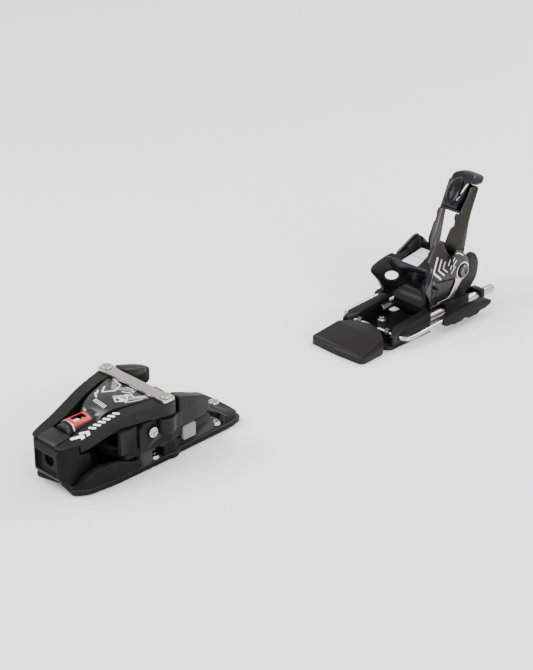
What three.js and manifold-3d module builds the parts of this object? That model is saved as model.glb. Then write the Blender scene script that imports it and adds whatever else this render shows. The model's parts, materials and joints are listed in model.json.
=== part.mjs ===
// Alpine ski binding: a toe unit and a step-in heel unit on one centreline, as on a ski.
// Millimetres. +X is the skier's left, +Y runs towards the tail, +Z is up, and the two units stand on Z = 0.
import * as THREE from "three";
import { mergeVertices } from "three/addons/utils/BufferGeometryUtils.js";
import Module from "manifold-3d";

const wasm = await Module();
wasm.setup();

// Driving dimensions
const gap = 0.3; // between pieces that touch
const toeLength = 195;
const heelStart = 338; // front edge of the heel pedal, measured as toe y
const noseFront = 3.5;
const toeHalfWidth = 34;
const heelHalfWidth = 31;
const screwHead = { radius: 5.2, height: 2.6, shaft: 2.1 };
const wingPin = { x: 36, y: 100, radius: 2.4 };
const toeSpring = { z: 44, tubeOuter: 8.4, tubeInner: 6.9, coil: 5.4, wire: 0.9 };
const round = { fine: 20, medium: 16, small: 12 }; // sides of a turned piece
const hub = { y: 147, z: 44, radius: 3.4 }; // heel pivot axle
const leverTilt = THREE.MathUtils.degToRad(22);
const brakeAxis = { y: 52, z: 9.5 };
const brakeWire = { radius: 2.2, x: 40 };
const guideRod = { x: 22.5, z: 9.5, radius: 4.2, front: 86, rear: 195 };
const pressure = { z: 8.7, screwHead: 4.6, shaft: 2.4, coil: 4, wire: 0.8 }; // under the heel

// Colours and surfaces
const surfaces = {
  black: [0x17181a, 0.45, 0.1],
  gloss: [0x0c0d0f, 0.2, 0.1],
  grey: [0x4a4945, 0.6, 0.1],
  slate: [0x9a9ca2, 0.5, 0.1],
  silver: [0xd8d8da, 0.35, 0.4],
  steel: [0xb9b0a4, 0.3, 0.9],
  bronze: [0x6d665c, 0.4, 0.7],
  alloy: [0x7d776c, 0.4, 0.8],
  red: [0xb5201c, 0.4, 0.0],
};

// ---- shape helpers ----

function outline(points, radius = 0) {
  const shape = new THREE.Shape();
  const count = points.length;
  points.forEach((here, i) => {
    const [x, y] = here;
    const round = here[2] ?? radius;
    const before = points[(i + count - 1) % count];
    const after = points[(i + 1) % count];
    const corner = new THREE.Vector2(x, y);
    const back = new THREE.Vector2(before[0], before[1]).sub(corner);
    const ahead = new THREE.Vector2(after[0], after[1]).sub(corner);
    const reach = Math.min(round, back.length() * 0.48, ahead.length() * 0.48);
    const start = corner.clone().addScaledVector(back.normalize(), reach);
    const end = corner.clone().addScaledVector(ahead.normalize(), reach);
    if (i === 0) shape.moveTo(start.x, start.y);
    else shape.lineTo(start.x, start.y);
    if (reach > 0.01) shape.quadraticCurveTo(x, y, end.x, end.y);
  });
  shape.closePath();
  return shape;
}

const mirrorX = (points) => [...points, ...points.map(([x, y, r]) => [-x, y, r]).reverse()];

function extrude(points, depth, { radius = 0, chamfer = 0, steps = 3 } = {}) {
  const geometry = new THREE.ExtrudeGeometry(outline(points, radius), {
    depth: depth - 2 * chamfer,
    bevelEnabled: chamfer > 0,
    bevelThickness: chamfer,
    bevelSize: chamfer,
    bevelOffset: -chamfer,
    bevelSegments: 1,
    curveSegments: steps,
  });
  return geometry.translate(0, 0, chamfer);
}

// plan: points are x, y; side: points are y, z; front: points are x, z
const plan = (points, z0, z1, options) => extrude(points, z1 - z0, options).translate(0, 0, z0);
const alongX = new THREE.Matrix4().set(0, 0, 1, 0, 1, 0, 0, 0, 0, 1, 0, 0, 0, 0, 0, 1);
function side(points, x0, x1, options) {
  return extrude(points, x1 - x0, options).applyMatrix4(alongX).translate(x0, 0, 0);
}
const alongY = new THREE.Matrix4().makeRotationX(Math.PI / 2);
const alongYCoil = new THREE.Matrix4().makeRotationX(-Math.PI / 2);
function front(points, y0, y1, options) {
  return extrude(points, y1 - y0, options).applyMatrix4(alongY).translate(0, y1, 0);
}

function block(x0, x1, y0, y1, z0, z1) {
  const box = new THREE.BoxGeometry(x1 - x0, y1 - y0, z1 - z0);
  return box.translate((x0 + x1) / 2, (y0 + y1) / 2, (z0 + z1) / 2);
}

function cylinder(radius, from, to, sides = round.medium, endRadius = radius) {
  const start = new THREE.Vector3(...from);
  const end = new THREE.Vector3(...to);
  const axis = end.clone().sub(start);
  const geometry = new THREE.CylinderGeometry(endRadius, radius, axis.length(), sides);
  const upright = new THREE.Vector3(0, 1, 0);
  const turn = new THREE.Quaternion().setFromUnitVectors(upright, axis.clone().normalize());
  return geometry.applyQuaternion(turn).translate(...start.add(end).multiplyScalar(0.5).toArray());
}

function tube(outer, inner, from, to, sides = round.fine) {
  const over = new THREE.Vector3(...to).sub(new THREE.Vector3(...from)).normalize();
  const start = new THREE.Vector3(...from).sub(over);
  const end = new THREE.Vector3(...to).add(over);
  return cut(cylinder(outer, from, to, sides), cylinder(inner, start.toArray(), end.toArray(), sides));
}

class Helix extends THREE.Curve {
  constructor(radius, length, turns) {
    super();
    Object.assign(this, { radius, length, turns });
  }
  getPoint(t, target = new THREE.Vector3()) {
    const angle = 2 * Math.PI * this.turns * t;
    return target.set(this.radius * Math.cos(angle), this.radius * Math.sin(angle), this.length * t);
  }
}

function sweep(path, radius, steps, sides = 8) {
  const section = new THREE.Shape();
  for (let i = 0; i < sides; i++) {
    const angle = (2 * Math.PI * i) / sides;
    const move = i === 0 ? "moveTo" : "lineTo";
    section[move](radius * Math.cos(angle), radius * Math.sin(angle));
  }
  section.closePath();
  return new THREE.ExtrudeGeometry(section, { extrudePath: path, steps, bevelEnabled: false });
}

// a coil along +Z from the origin
function coil(radius, wire, length, turns) {
  const stepsPerTurn = 9;
  return sweep(new Helix(radius, length, turns), wire, Math.round(turns * stepsPerTurn), 5);
}

function roundedPath(points) {
  const path = new THREE.CurvePath();
  let last = new THREE.Vector3(...points[0]);
  for (let i = 1; i < points.length - 1; i++) {
    const [x, y, z, bend] = points[i];
    const corner = new THREE.Vector3(x, y, z);
    const next = new THREE.Vector3(...points[i + 1].slice(0, 3));
    const into = corner.clone().addScaledVector(last.clone().sub(corner).normalize(), bend);
    const out = corner.clone().addScaledVector(next.sub(corner).normalize(), bend);
    path.add(new THREE.LineCurve3(last, into));
    path.add(new THREE.QuadraticBezierCurve3(into, corner, out));
    last = out;
  }
  path.add(new THREE.LineCurve3(last, new THREE.Vector3(...points.at(-1).slice(0, 3))));
  return path;
}

// ---- joining and cutting ----

function toSolid(geometry) {
  const bare = geometry.clone();
  bare.deleteAttribute("normal");
  bare.deleteAttribute("uv");
  const merged = mergeVertices(bare, 1e-4);
  const vertProperties = Float32Array.from(merged.attributes.position.array);
  const triVerts = Uint32Array.from(merged.index.array);
  return new wasm.Manifold(new wasm.Mesh({ numProp: 3, vertProperties, triVerts }));
}

function toGeometry(solid) {
  const mesh = solid.getMesh();
  const geometry = new THREE.BufferGeometry();
  geometry.setAttribute("position", new THREE.BufferAttribute(Float32Array.from(mesh.vertProperties), 3));
  geometry.setIndex(new THREE.BufferAttribute(Uint32Array.from(mesh.triVerts), 1));
  return geometry;
}

const fold = (act) => (first, ...rest) => toGeometry(rest.map(toSolid).reduce(act, toSolid(first)));
const join = fold((a, b) => a.add(b));
const cut = fold((a, b) => a.subtract(b));
const common = fold((a, b) => a.intersect(b));

function mirrored(geometry) {
  const flipped = geometry.clone().scale(-1, 1, 1);
  const order = flipped.index ? flipped.index.array : null;
  const swap = order ?? flipped.attributes.position.array;
  const width = order ? 1 : 3;
  for (let t = 0; t < swap.length; t += 3 * width) {
    for (let k = 0; k < width; k++) {
      [swap[t + k], swap[t + 2 * width + k]] = [swap[t + 2 * width + k], swap[t + k]];
    }
  }
  return flipped;
}

// ---- building the scene ----

function piece(name, surface, geometry, pivot = [0, 0, 0]) {
  const [color, roughness, metalness] = surfaces[surface];
  const material = new THREE.MeshStandardMaterial({ color, roughness, metalness });
  const mesh = new THREE.Mesh(geometry.translate(-pivot[0], -pivot[1], -pivot[2]), material);
  mesh.position.set(...pivot);
  mesh.name = name;
  return mesh;
}

// the same piece on both sides of the centreline, given the left one
function pair(name, surface, geometry, pivot = [0, 0, 0]) {
  const [x, y, z] = pivot;
  return [
    piece(`${name}_left`, surface, geometry.clone(), pivot),
    piece(`${name}_right`, surface, mirrored(geometry), [-x, y, z]),
  ];
}

// a pan-head screw pointing down, its head's underside at z, with a crossed recess
function mountScrew(x, y, z) {
  const { radius, height, shaft } = screwHead;
  const head = cylinder(radius, [x, y, z], [x, y, z + height], round.medium, radius * 0.82);
  const shank = cylinder(shaft, [x, y, 0.4], [x, y, z + 0.1], 8);
  const top = z + height;
  const arm = radius * 0.5;
  const slot = 0.65;
  const across = block(x - arm, x + arm, y - slot, y + slot, top - 1.4, top + 1);
  const along = block(x - slot, x + slot, y - arm, y + arm, top - 1.4, top + 1);
  return cut(join(head, shank), join(across, along));
}

function screwHole(x, y, z) {
  const shaftHole = cylinder(screwHead.shaft + gap, [x, y, -1], [x, y, z], 8);
  const headRoom = cylinder(screwHead.radius + 1.2, [x, y, z - gap], [x, y, 60], round.medium);
  return join(shaftHole, headRoom);
}

// ---- toe unit: y runs from the nose ----

const toeFrontScrew = [27.5, 93, 5];
const toeRearScrew = [24, 165, 6.5];
const afdScrew = [0, 186, 8.2];
const sideBolt = { y: 86.4, z: 34 };

function toeBase() {
  const footprint = mirrorX([
    [0, 17], [22.5, 11.6, 2], [30.5, 21, 8], [toeHalfWidth, 48, 20], [toeHalfWidth, 106, 3], [35, 108, 1],
    [35, 113, 1], [31.8, 118, 3], [31, 178, 8], [27.5, 192.5, 5], [10, toeLength, 4],
  ]);
  const floor = plan(footprint, 0, 5, { chamfer: 0.8 });
  const wallPlan = mirrorX([
    [0, 18], [22, 12.6, 2], [30, 21.5, 8],
    [toeHalfWidth - 0.6, 48, 20], [toeHalfWidth - 0.6, 73, 2], [0, 73],
  ]);
  const wallSide = [
    [8, 4], [200, 4], [200, 13], [66, 13.5, 6], [50, 21, 12], [27, 20, 8], [15, 9, 3], [8, 8],
  ];
  const tub = common(plan(wallPlan, 4, 24), side(wallSide, -40, 40));
  const hollow = plan(mirrorX([[0, 24], [19, 17, 3], [25, 25, 6], [29, 48, 12], [29, 80]]), 6, 30);
  const noseRoom = block(-21.8, 21.8, 0, 40, 8, 30);
  const tailPlan = mirrorX([
    [0, 73.3], [toeHalfWidth - 1, 73.3], [toeHalfWidth - 1, 112, 2], [30, 119, 3],
    [29, 178, 8], [25.5, 190.5, 5], [10, 193, 4],
  ]);
  const tailSide = [
    [73, 4], [196, 4], [196, 6], [192, 8, 2], [177, 10, 3], [170, 14, 3], [150, 17.5, 3], [73, 17.5],
  ];
  const tail = common(plan(tailPlan, 4, 22), side(tailSide, -40, 40));
  const [, afdY, afdTop] = afdScrew;
  const boss = cylinder(6.5, [0, afdY, 4], [0, afdY, afdTop - gap], round.medium);
  const threadHole = cylinder(2.7, [0, afdY, 1], [0, afdY, 12], round.small);
  const well = join(threadHole, cylinder(6, [0, afdY, afdTop - gap], [0, afdY, 30]));
  const channel = block(-17.5, 17.5, 113, 165, 13, 30);
  const pockets = [toeFrontScrew, toeRearScrew].flatMap(([x, y, z]) => [
    screwHole(x, y, z),
    block(x - 1.5, 40, y - 6.4, y + 6.4, z - gap, 15),
  ]);
  const body = join(floor, cut(tub, hollow, noseRoom), tail, boss);
  return cut(body, ...pockets, ...pockets.map(mirrored), well, channel);
}

function toeBody() {
  const edge = toeHalfWidth - 0.4;
  const shelf = plan(mirrorX([[0, 52, 6], [14, 54, 10], [edge, 59, 4], [edge, 74]]), 17.8, 24);
  const flankPlan = mirrorX([
    [0, 73], [toeHalfWidth + 0.5, 73, 1], [toeHalfWidth + 0.5, 108, 2], [toeHalfWidth - 1, 118, 4],
    [31.5, 150, 3], [29, 156, 3], [0, 156],
  ]);
  const flankSide = [
    [70, 17.8], [160, 17.8], [156, 19, 2], [148, 27.5, 3], [112, 29.8, 3], [98, 30, 2], [95, 38, 3],
    [90, 43.6, 3], [78, 44.2, 1], [73, 40, 2], [70, 40],
  ];
  const flanks = common(plan(flankPlan, 17.8, 50), side(flankSide, -40, 40));
  const springRoom = block(-26.5, 26.5, 60, 112, 26, 60);
  const plateRoom = join(block(-24, 24, 111, 170, 21.7, 60), block(-17.5, 17.5, 111, 170, 17, 60));
  const wingRoomPlan = plan(mirrorX([[0, 90], [26.5, 90], [30.5, 96, 4], [30.5, 160]]), 26, 60);
  const post = common(
    plan([[29.2, 53.5, 1], [33.6, 55, 1], [33.6, 71, 1], [28, 71, 1]], 23.5, 50),
    side([[50, 23], [75, 23], [75, 44.6], [66, 44.2], [54, 43.5]], 20, 40),
  );
  const pinRoom = cylinder(8.8, [wingPin.x, wingPin.y, 30], [wingPin.x, wingPin.y, 60], round.fine);
  const screwWell = cylinder(5.6, [30.5, sideBolt.y, sideBolt.z], [40, sideBolt.y, sideBolt.z]);
  const plugWell = side(plugOutline(0.4), 30, 40);
  const line = block(33.4, 40, 93.5, 106, 27.4, 28.2);
  const leftCuts = [pinRoom, screwWell, plugWell, line];
  const solid = join(shelf, flanks, post, mirrored(post));
  return cut(solid, springRoom, plateRoom, wingRoomPlan, ...leftCuts, ...leftCuts.map(mirrored));
}

function noseBlock() {
  const profile = [
    [5, 41.4, 1.5], [noseFront, 30, 3], [4.2, 15, 4], [9, 8.4, 3], [26, 9.4, 4], [33, 17, 3],
    [33.5, 30, 2], [26, 32.5], [22, 32.9], [22, 41.4],
  ];
  const planShape = mirrorX([[10, 2.5, 4], [18.8, 6.5, 5], [21.4, 22, 6], [20.4, 50]]);
  const blockShape = common(side(profile, -22, 22), plan(planShape, 5, 50));
  const face = plan(mirrorX([[13, -2], [13, 7.6]]), 15, 33);
  const bore = cylinder(5.4, [0, -2, 26], [0, 12, 26]);
  return cut(blockShape, face, bore);
}

function noseCap() {
  const profile = [[6, 41.7], [21.5, 41.7], [21.5, 46.6, 1], [9, 45.2, 2], [5.2, 43.4, 1]];
  return side(profile, -11.2, 11.2, { chamfer: 0.6 });
}

function yoke() {
  const armPlan = [
    [11.6, 4.4, 1], [18.5, 5.2, 3], [22, 16, 8], [24, 32, 10], [31.5, 62, 14], [38.6, 88, 10], [42.5, 98, 6],
    [40, 109.4, 7], [29.5, 109.6, 6], [26.8, 102, 5], [26.2, 86, 6], [11.6, 34, 6],
  ];
  const armSide = [
    [2, 41.8], [22.4, 41.8], [22.4, 35.3], [30, 36, 4], [54, 44.8, 10], [76, 46.8, 4], [112, 45.2, 2],
    [112, 57.6, 3], [100, 58.4, 3], [70, 58.4, 14], [44, 52.6, 14], [22, 46.6, 8], [5, 43.4, 1],
  ];
  const arm = common(plan(armPlan, 28, 64), side(armSide, 0, 44));
  const { x, y, radius } = wingPin;
  const pinHole = cylinder(radius + gap, [x, y, 30], [x, y, 64], round.small);
  const left = cut(arm, pinHole);
  const crossbar = block(-12.5, 12.5, 22.4, 27.2, 33.3, 38);
  const { z, tubeOuter } = toeSpring;
  const tubeRoom = cylinder(tubeOuter + gap, [0, 20, z], [0, 31, z], round.fine);
  return join(left, mirrored(left), cut(crossbar, tubeRoom));
}

function springTube() {
  const { z, tubeOuter, tubeInner } = toeSpring;
  const barrel = tube(tubeOuter, tubeInner, [0, 27, z], [0, 84, z]);
  const windowCut = block(-4.2, 4.2, 31, 45, z, z + 20);
  return cut(barrel, windowCut);
}

function tubeBand() {
  const { z, tubeOuter } = toeSpring;
  return tube(tubeOuter + 1, tubeOuter + gap, [0, 27.6, z], [0, 29.2, z]);
}

function indicatorFrame() {
  const { z, tubeOuter } = toeSpring;
  const sleeve = tube(tubeOuter + 1.1, tubeOuter + gap, [0, 29.8, z], [0, 47, z]);
  const saddle = common(sleeve, block(-7, 7, 29, 48, z + 2, z + 16));
  return cut(saddle, block(-3.9, 3.9, 32, 44.5, z, z + 16));
}

function indicatorNut() {
  const { z, tubeInner } = toeSpring;
  return tube(tubeInner - gap, 2.5, [0, 33.4, z], [0, 39.8, z], round.medium);
}

function releaseScrew() {
  const { z } = toeSpring;
  const knob = cylinder(7.8, [0, 22.2, z], [0, 26.6, z], round.fine);
  const recess = join(
    block(-3.2, 3.2, 21, 23.8, z - 0.7, z + 0.7),
    block(-0.7, 0.7, 21, 23.8, z - 3.2, z + 3.2),
  );
  return cut(join(knob, cylinder(2.2, [0, 26, z], [0, 46, z], round.small)), recess);
}

const toeSpringCoil = () =>
  coil(toeSpring.coil, toeSpring.wire, 33, 6).applyMatrix4(alongYCoil).translate(0, 47.4, toeSpring.z);

function drawbar() {
  const { z } = toeSpring;
  const collar = cylinder(6.2, [0, 43.3, z], [0, 45.9, z], round.medium);
  const rod = cylinder(3.6, [0, 45, z], [0, 96, z], round.small);
  const threadHole = cylinder(2.6, [0, 40, z], [0, 50, z], round.small);
  return join(cut(join(collar, rod), threadHole), block(-19, 19, 92, 96, 34, 47.8));
}

function springHousing() {
  const planShape = mirrorX([[10.2, 48, 2], [25, 90, 3], [25.8, 98.6, 2]]);
  const profile = [[47, 34, 3], [47, 46, 3], [55, 54, 3], [62, 56.5, 4], [99, 58.2, 1], [99, 34]];
  const shell = common(plan(planShape, 28, 64), side(profile, -40, 40));
  const innerPlan = mirrorX([[8.4, 50], [22.8, 90], [22.8, 110]]);
  const innerProfile = [[40, 20], [50, 46, 2], [57, 51.6, 2], [63, 54, 3], [110, 55.6], [110, 20]];
  const hollow = common(plan(innerPlan, 20, 70), side(innerProfile, -40, 40));
  const bore = cylinder(toeSpring.tubeOuter + gap, [0, 40, toeSpring.z], [0, 60, toeSpring.z], 24);
  return cut(shell, hollow, bore);
}

function bridgePlate() {
  const { x: pinX, y: pinY, radius } = wingPin;
  const shape = mirrorX([
    [27, 94, 6], [pinX, 93.4, 6], [41.4, 94, 6], [41.4, 106, 6], [pinX, 106.6, 6], [27, 104.5, 8],
  ]);
  const plate = plan(shape, 58.8, 61);
  const holes = [pinX, -pinX].map((x) => cylinder(radius + gap, [x, pinY, 50], [x, pinY, 70], round.small));
  return cut(plate, ...holes);
}

function pinAndHead() {
  const { x, y, radius } = wingPin;
  const shaft = cylinder(radius, [x, y, 30.4], [x, y, 61.8], round.small);
  return join(shaft, cylinder(4.9, [x, y, 61.3], [x, y, 63], round.medium, 4.2));
}

function wing() {
  const { x, y, radius } = wingPin;
  const wallPlan = [
    [33.4, 111.2, 1], [39.6, 111.2, 2], [40.2, 130, 6], [38, 146, 3], [34.5, 146, 2], [33.4, 138, 4],
  ];
  const wallSide = [
    [109, 31], [141, 31, 3], [146.4, 34, 3], [147, 44, 4],
    [140, 48.5, 6], [126, 53.5, 10], [113, 57.5, 3], [109, 57.8],
  ];
  const panel = common(plan(wallPlan, 28, 60), side(wallSide, 30, 45));
  const lipPlan = [[26.5, 112.5, 2], [34, 111.3], [36, 111.3], [36, 141, 3], [31.5, 139, 5], [27.5, 124, 8]];
  const lipSide = [[109, 48], [140, 43.8], [141, 47.6], [126, 52.9, 10], [113, 57, 3], [109, 57.2]];
  const lip = common(plan(lipPlan, 44, 60), side(lipSide, 20, 45));
  const barrel = cylinder(8, [x, y, 31], [x, y, 44.6], round.fine);
  const arm = plan([[32, 100], [40.6, 100], [40.2, 113], [33.4, 113]], 31, 44.4);
  const bore = cylinder(radius + gap, [x, y, 20], [x, y, 70], round.small);
  return cut(join(panel, lip, barrel, arm), bore);
}

function sideScrew() {
  const { y, z } = sideBolt;
  const head = cylinder(5, [33.6, y, z], [36.6, y, z], round.medium, 4.6);
  const shaft = cylinder(2.4, [31, y, z], [33.8, y, z], 8);
  const star = join(
    block(35.2, 38, y - 3.2, y + 3.2, z - 0.9, z + 0.9),
    block(35.2, 38, y - 0.9, y + 0.9, z - 3.2, z + 3.2),
  );
  return cut(join(head, shaft), star);
}

function plugOutline(grow) {
  const [y0, y1, z0, z1] = [119.9 - grow, 134.1 + grow, 11.9 - grow, 25.1 + grow];
  return [[y0, z0, 2], [y1, z0, 2], [y1, z1, 2], [y0, z1, 2]];
}

const sidePlug = () => side(plugOutline(0), 30.4, 34.3, { chamfer: 0.5 });

function afdPlan(inset) {
  return mirrorX([[17 - inset, 114 + inset, 3], [17 - inset, 146 - inset, 8], [8, 158 - inset, 8]]);
}
const afdCarrier = () => plan(afdPlan(0.6), 17.8, 21.6);
const afdPlate = () => plan(afdPlan(0), 22, 24.6, { chamfer: 0.8 });

function afdHeightScrew() {
  const [x, y, z] = afdScrew;
  const head = cylinder(screwHead.radius, [x, y, z], [x, y, z + 2.2], round.medium, 4.4);
  const shank = cylinder(2.3, [x, y, 1.4], [x, y, z + 0.1], 8);
  const across = block(-3, 3, y - 0.7, y + 0.7, z + 1, z + 4);
  const along = block(-0.7, 0.7, y - 3, y + 3, z + 1, z + 4);
  return cut(join(head, shank), join(across, along));
}

// ---- heel unit: y runs from the front edge of the pedal ----

const heelFrontScrew = [12, 76, 3.9];
const heelRearScrew = [10.8, 183.4, 3.9];

function heelPedal() {
  const { y, z } = brakeAxis;
  const footprint = mirrorX([
    [0, -0.6, 4], [29, 0.8, 3], [32, 4, 3], [31, 31, 3], [26, 35, 4], [16, 43, 10], [0, 47, 14],
  ]);
  const topLine = [
    [-2, -1], [60, -1], [60, 15], [44, 14.6, 4], [30, 12.8, 8], [3.4, 7.4, 3], [-0.8, 4.6, 1.5], [-2, 0],
  ];
  const bevelled = front([[-33, -1], [33, -1], [33, 4], [26, 15.5], [-26, 15.5], [-33, 4]], -4, 60);
  const body = common(plan(footprint, 0, 16, { steps: 5 }), side(topLine, -40, 40), bevelled);
  const ear = block(8, 13, 40, y, 4.2, 11);
  const floorRoom = block(-40, 40, 36.6, 60, -1, 4.1);
  const wireRoom = cylinder(brakeWire.radius + gap, [-20, y, z], [20, y, z], round.small);
  return cut(join(cut(body, floorRoom), ear, mirrored(ear)), wireRoom);
}

function heelTrack() {
  const floorPlan = mirrorX([
    [25, 37, 3], [heelHalfWidth, 41, 3], [heelHalfWidth, 97, 2], [16.5, 99, 2], [16.5, 172],
    [28, 172, 1], [28, 179, 1], [16.5, 180, 1], [16.5, 188, 5],
  ]);
  const floor = plan(floorPlan, 0, 3.6);
  const wallPlan = [
    [21.3, 54, 3], [27, 44, 3], [heelHalfWidth, 42, 2], [heelHalfWidth, 97, 2], [21.3, 98, 1],
  ];
  const wallSide = [[41, 3], [100, 3], [99.4, 19.4, 2], [60, 16.6, 6], [43, 12.8, 3]];
  const wall = common(plan(wallPlan, 3, 30), side(wallSide, 0, 40));
  const bracket = plan([[15, 172.4], [28, 172.4, 1], [28, 178.6, 1], [15, 178.6]], 3, 15.6);
  const { y, z } = brakeAxis;
  const wireSlot = cylinder(brakeWire.radius + gap, [0, y, z], [60, y, z], round.small);
  const screws = [screwHole(...heelFrontScrew), screwHole(...heelRearScrew)];
  const leftCuts = [wireSlot, rodRoom(guideRod.front - 1), ...screws];
  const centreBridge = block(-16, 16, 172.4, 178.6, 3, 14);
  const screwBore = cylinder(pressure.shaft + 0.4, [0, 160, pressure.z], [0, 190, pressure.z], round.small);
  const solid = join(floor, wall, mirrored(wall), bracket, mirrored(bracket), centreBridge);
  return cut(solid, ...leftCuts, ...leftCuts.map(mirrored), screwBore);
}

// the hole a guide rod runs in, from y = start to past the tail
function rodRoom(start) {
  const { x, z, radius } = guideRod;
  return cylinder(radius + gap, [x, start, z], [x, 220, z]);
}

function guideRodBar() {
  const { x, z, radius, front: start, rear: end } = guideRod;
  return cylinder(radius, [x, start, z], [x, end, z], round.medium);
}

function brakeWireArm() {
  const { y, z } = brakeAxis;
  const path = roundedPath([[4.6, y, z], [brakeWire.x, y, z, 7], [brakeWire.x, 113, z + 3]]);
  return sweep(path, brakeWire.radius, 16, 8);
}

function brakePaddle() {
  const profile = [
    [100, 9, 2], [105, 6.6, 2], [111, 6.6, 1], [115, 5, 1.5], [126, 5, 1], [130, 7, 1], [138, 4.4, 2],
    [149, 4.4, 1], [153, 6.8, 1], [161, 6.8, 1], [168, 9, 2], [170, 12, 2], [164, 15, 3], [150, 16.8, 6],
    [118, 17.2, 6], [101, 15.4, 3],
  ];
  const wide = side(profile, brakeWire.x - 3.4, brakeWire.x + 4.2, { chamfer: 0.8, steps: 3 });
  const { x, radius } = brakeWire;
  const { z } = brakeAxis;
  const bore = cylinder(radius + gap, [x, 80, z + 1.36], [x, 115.2, z + 3.15]);
  return cut(wide, bore);
}

function brakeCoil() {
  const { y, z } = brakeAxis;
  return coil(3.9, 0.8, 4.6, 3).rotateY(Math.PI / 2).translate(14.8, y, z);
}

function carriage() {
  const base = plan(mirrorX([[28.5, 122, 3], [28.5, 156, 3]]), 4, 17.6);
  const nose = plan(mirrorX([[15, 112, 3], [15, 124]]), 4, 13);
  const earSide = [
    [139, 17], [136, 30, 4], [137, 42, 6], [144, 51, 6], [158, 53, 6], [168, 56, 8],
    [176.6, 44, 10], [174, 28, 8], [166, 20, 3], [156, 17],
  ];
  const ear = side(earSide, 16.6, 20.6);
  const web = block(-18, 18, 150, 164, 16, 24);
  const axleHole = cylinder(hub.radius + gap, [-40, hub.y, hub.z], [40, hub.y, hub.z]);
  const rodBore = rodRoom(100);
  const springRoom = cylinder(6.6, [0, 100, pressure.z], [0, 150, pressure.z]);
  const screwBore = cylinder(pressure.shaft + 0.4, [0, 140, pressure.z], [0, 190, pressure.z], round.small);
  const solid = join(base, nose, ear, mirrored(ear), web);
  return cut(solid, axleHole, rodBore, mirrored(rodBore), springRoom, screwBore);
}

const hubHole = () => cylinder(hub.radius + gap, [0, hub.y, hub.z], [40, hub.y, hub.z]);

function sideFrame() {
  const strip = [
    [104, 17.9, 1], [138, 17.9, 2], [144, 27, 4], [153, 36, 3], [155.5, 44, 6], [147, 52.5, 9],
    [138.5, 44, 6],
    [141, 34, 4], [132, 20.2, 3], [104, 20.2, 1],
  ];
  return cut(side(strip, 20.9, 22.5), hubHole());
}

function pressureSpring() {
  const { z, coil: radius, wire } = pressure;
  return coil(radius, wire, 30, 6).applyMatrix4(alongYCoil).translate(0, 115.4, z);
}

function pressureScrew() {
  const { z, screwHead: headRadius, shaft } = pressure;
  const head = cylinder(headRadius, [0, 179, z], [0, 184, z]);
  const slot = block(-3, 3, 182.4, 186, z - 0.7, z + 0.7);
  return cut(join(head, cylinder(shaft, [0, 121.5, z], [0, 179.5, z], round.small)), slot);
}

// the tilted inner face of the side plates, with clearance, as the room the plates need
function sidePlateRoom() {
  const slope = front([[22.45, 38], [22.45, 47.6], [11.2, 80], [60, 80], [60, 38]], 95, 150);
  return common(slope, side([[102.2, 90], [102.2, 51.6], [109.6, 43.6], [140, 39.2], [140, 90]], 0, 60));
}

function heelCup() {
  const outerPlan = mirrorX([
    [34.2, 82, 1], [33.2, 92, 4], [25.2, 104.5, 3], [25.2, 138], [22.8, 138], [22.8, 112], [0, 112],
  ]);
  const outerSide = [
    [82.4, 45, 1], [83.4, 48.6, 1.5], [88, 53.4, 4], [96, 58.9, 2], [112, 66.4], [112, 43],
    [135.6, 39.2], [125, 22, 2], [112, 22], [112, 6.4], [105, 6, 2], [97.4, 9, 3], [96, 22], [92, 33, 10],
  ];
  const outerFront = mirrorX([
    [12.4, 68], [22, 63, 3], [28.5, 58, 3], [35, 48.6], [35, 20.5], [17.8, 20.5], [17.8, 0],
  ]);
  const bootSide = [
    [30, -2], [30, 80], [96.5, 80], [96.5, 58], [97.6, 53, 4], [103, 43, 8], [105.5, 31, 8],
    [99.6, 22.6, 3], [97.6, 13, 4], [100.6, 4, 2], [100.6, -2],
  ];
  const solid = common(plan(outerPlan, 4, 70), side(outerSide, -40, 40), front(outerFront, 70, 140));
  const bootHeel = common(cylinder(34, [0, 72, -2], [0, 72, 80], 36), side(bootSide, -40, 40));
  const [dip, turn] = [-26, -45].map(THREE.MathUtils.degToRad); // down and out
  const slant = new THREE.Matrix4().makeRotationFromEuler(new THREE.Euler(dip, 0, turn, "ZXY"));
  const oval = cylinder(4, [0, -12, 0], [0, 16, 0]).scale(1.6, 1, 1);
  oval.applyMatrix4(slant).translate(21, 99, 40);
  const windowSeat = side([[98, 56.2], [113, 58.6], [113, 90], [98, 90]], -10.9, 10.9);
  const plates = sidePlateRoom();
  return cut(solid, bootHeel, oval, mirrored(oval), windowSeat, plates, mirrored(plates));
}

function heelHousing() {
  const profile = [[112.3, 20], [112.3, 58.4], [127, 60.7, 1], [127, 30, 4], [120, 20, 3]];
  const horn = common(
    front([[22.4, 38], [22.4, 47.4], [12.5, 76], [10.9, 76], [10.9, 60], [16, 50], [16, 38]], 112.3, 127),
    side([[112.3, 34], [112.3, 68], [122.6, 74.4, 2], [127, 74.4, 1], [127, 34]], 0, 40),
  );
  const springBore = cylinder(6.4, [0, 110, hub.z], [0, 140, hub.z]);
  return cut(join(side(profile, -17.8, 17.8), horn, mirrored(horn)), springBore);
}

function sidePlate() {
  const leanFront = [[25.2, 20], [25.2, 48.4], [13.8, 80], [11.6, 80], [22.8, 47.8], [22.8, 20]];
  const leaning = front(leanFront, 90, 133);
  const upright = block(22.8, 25.2, 132, 160, 20, 80);
  const profile = [
    [102.6, 52, 1.5], [109.8, 44, 1.5], [139, 39.6, 3], [146, 34.5, 5], [153, 37.5, 5], [156, 46, 5],
    [154, 55, 5], [147.5, 62, 3], [140, 68.5, 3], [134.5, 62, 3], [130, 65, 2], [127, 76.6, 1.5],
    [121, 76.6, 2], [104, 64, 2],
  ];
  const plate = common(join(leaning, upright), side(profile, 0, 40));
  return cut(plate, hubHole());
}

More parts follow.
